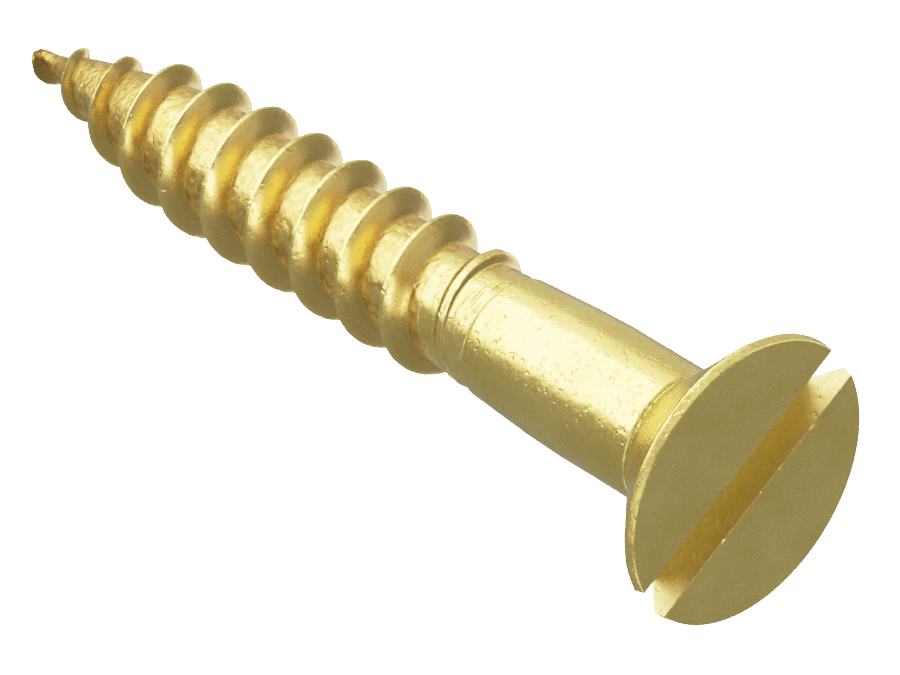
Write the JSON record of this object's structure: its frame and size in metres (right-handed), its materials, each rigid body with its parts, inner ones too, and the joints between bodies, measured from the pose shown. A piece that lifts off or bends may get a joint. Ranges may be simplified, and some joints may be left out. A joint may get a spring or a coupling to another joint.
{
  "type": "slotted countersunk wood screw",
  "caption": "Solid brass wood screw with a slotted countersunk head, plain shank and tapered right-hand thread ending in a gimlet point, for fixing fittings to timber.",
  "frame": {"origin": "centre of the head's flat face, which lies flush with the surface that the screw fastens", "axes": "+Z along the screw's axis, out of the head; the driver slot runs along X; the point is on -Z"},
  "size_m": [0.0088, 0.009, 0.0308],
  "materials": {
    "brass": "satin, as machined, with fine pits"
  },
  "bodies": {
    "root": {"wood_screw": "brass"}
  },
  "joints": []
}
